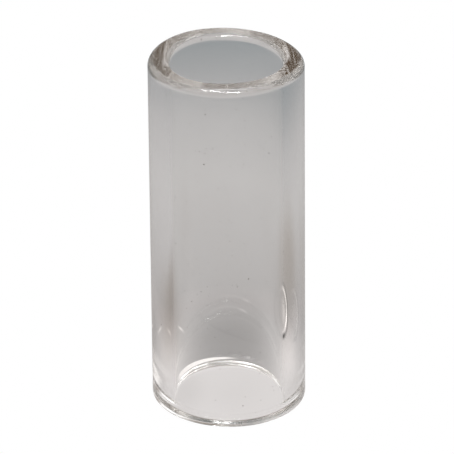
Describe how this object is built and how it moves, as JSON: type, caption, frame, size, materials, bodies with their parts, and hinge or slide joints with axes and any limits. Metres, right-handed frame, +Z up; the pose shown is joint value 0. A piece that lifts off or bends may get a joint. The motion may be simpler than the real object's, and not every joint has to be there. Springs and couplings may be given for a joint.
{
  "type": "guitar slide",
  "caption": "Clear glass tube with a straight through bore and fire-polished ends, worn on a finger and slid along guitar strings.",
  "frame": {"origin": "middle of the lower end, on the plane that the slide stands on", "axes": "+Z up along the bore, from the lower end to the more heavily melted upper end"},
  "size_m": [0.0286, 0.0286, 0.069],
  "materials": {
    "clear_glass": "clear glass, fire-polished at both ends, lightly handled"
  },
  "bodies": {
    "root": {"glass_tube": "clear_glass"}
  },
  "joints": []
}
